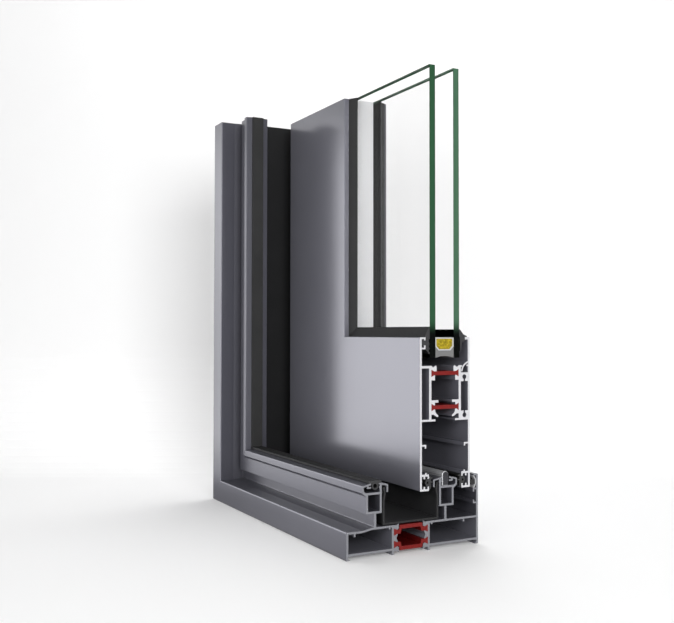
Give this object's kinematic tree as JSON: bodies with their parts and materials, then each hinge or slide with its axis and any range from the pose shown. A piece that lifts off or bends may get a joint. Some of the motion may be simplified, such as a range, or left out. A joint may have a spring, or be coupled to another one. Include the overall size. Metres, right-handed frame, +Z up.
{
  "type": "lift-and-slide door corner section",
  "caption": "Cut corner of an aluminium lift-and-slide glass door: mitred frame with running track, thermally broken sash and double glazing that slides and lifts.",
  "frame": {"origin": "centre of the footprint, on the floor under the sill", "axes": "+X along the sill away from the jamb, +Y from outside to inside, +Z up"},
  "size_m": [0.273, 0.111, 0.355],
  "materials": {
    "frame_paint": "fine satin powder coat on aluminium, bare metal on the saw cuts",
    "sash_paint": "fine satin powder coat on aluminium, bare metal on the saw cuts",
    "polyamide": "dull red glass-filled polyamide",
    "gasket_rubber": "satin black synthetic rubber",
    "edge_sealant": "matt grey sealant",
    "trough_plastic": "matt black plastic",
    "rail_metal": "polished along its length",
    "glass": "clear float glass with green edges",
    "spacer_metal": "mill aluminium",
    "desiccant": "yellow granules",
    "packer_plastic": "dark moulded plastic",
    "carriage_steel": "zinc-plated steel",
    "roller_plastic": "dark nylon"
  },
  "bodies": {
    "frame": {"sill_outside_profile": "frame_paint", "sill_inside_profile": "frame_paint", "sill_thermal_breaks": "polyamide", "sill_track_gasket": "gasket_rubber", "sill_channel_cover": "trough_plastic", "sill_wall_seal": "gasket_rubber", "jamb_outside_profile": "frame_paint", "jamb_inside_profile": "frame_paint", "jamb_thermal_breaks": "polyamide", "jamb_track_gasket": "gasket_rubber", "jamb_channel_cover": "trough_plastic", "jamb_wall_seal": "gasket_rubber", "jamb_inside_track_gasket": "gasket_rubber", "running_rail": "rail_metal"},
    "carriage": {"carriage_housing": "carriage_steel", "rollers": "roller_plastic", "roller_axles": "carriage_steel"},
    "sash": {"bottom_rail_outside_profile": "sash_paint", "bottom_rail_inside_profile": "sash_paint", "bottom_rail_thermal_breaks": "polyamide", "bottom_rail_leg_seals": "gasket_rubber", "bottom_glazing_bead": "sash_paint", "bottom_outside_gasket": "gasket_rubber", "bottom_inside_gasket": "gasket_rubber", "bottom_spacer_bar": "spacer_metal", "bottom_desiccant": "desiccant", "bottom_edge_sealant": "edge_sealant", "stile_outside_profile": "sash_paint", "stile_inside_profile": "sash_paint", "stile_thermal_breaks": "polyamide", "stile_leg_seals": "gasket_rubber", "side_glazing_bead": "sash_paint", "side_outside_gasket": "gasket_rubber", "side_inside_gasket": "gasket_rubber", "side_spacer_bar": "spacer_metal", "side_desiccant": "desiccant", "side_edge_sealant": "edge_sealant", "outside_pane": "glass", "inside_pane": "glass", "bottom_glass_packer": "packer_plastic", "side_glass_packer": "packer_plastic"}
  },
  "joints": [
    {"name": "sash_slide", "type": "slide", "parent": "frame", "child": "carriage", "axis": [1, 0, 0], "range_m": [0, 0.1]},
    {"name": "sash_lift", "type": "slide", "parent": "carriage", "child": "sash", "axis": [0, 0, 1], "range_m": [0, 0.006]}
  ]
}
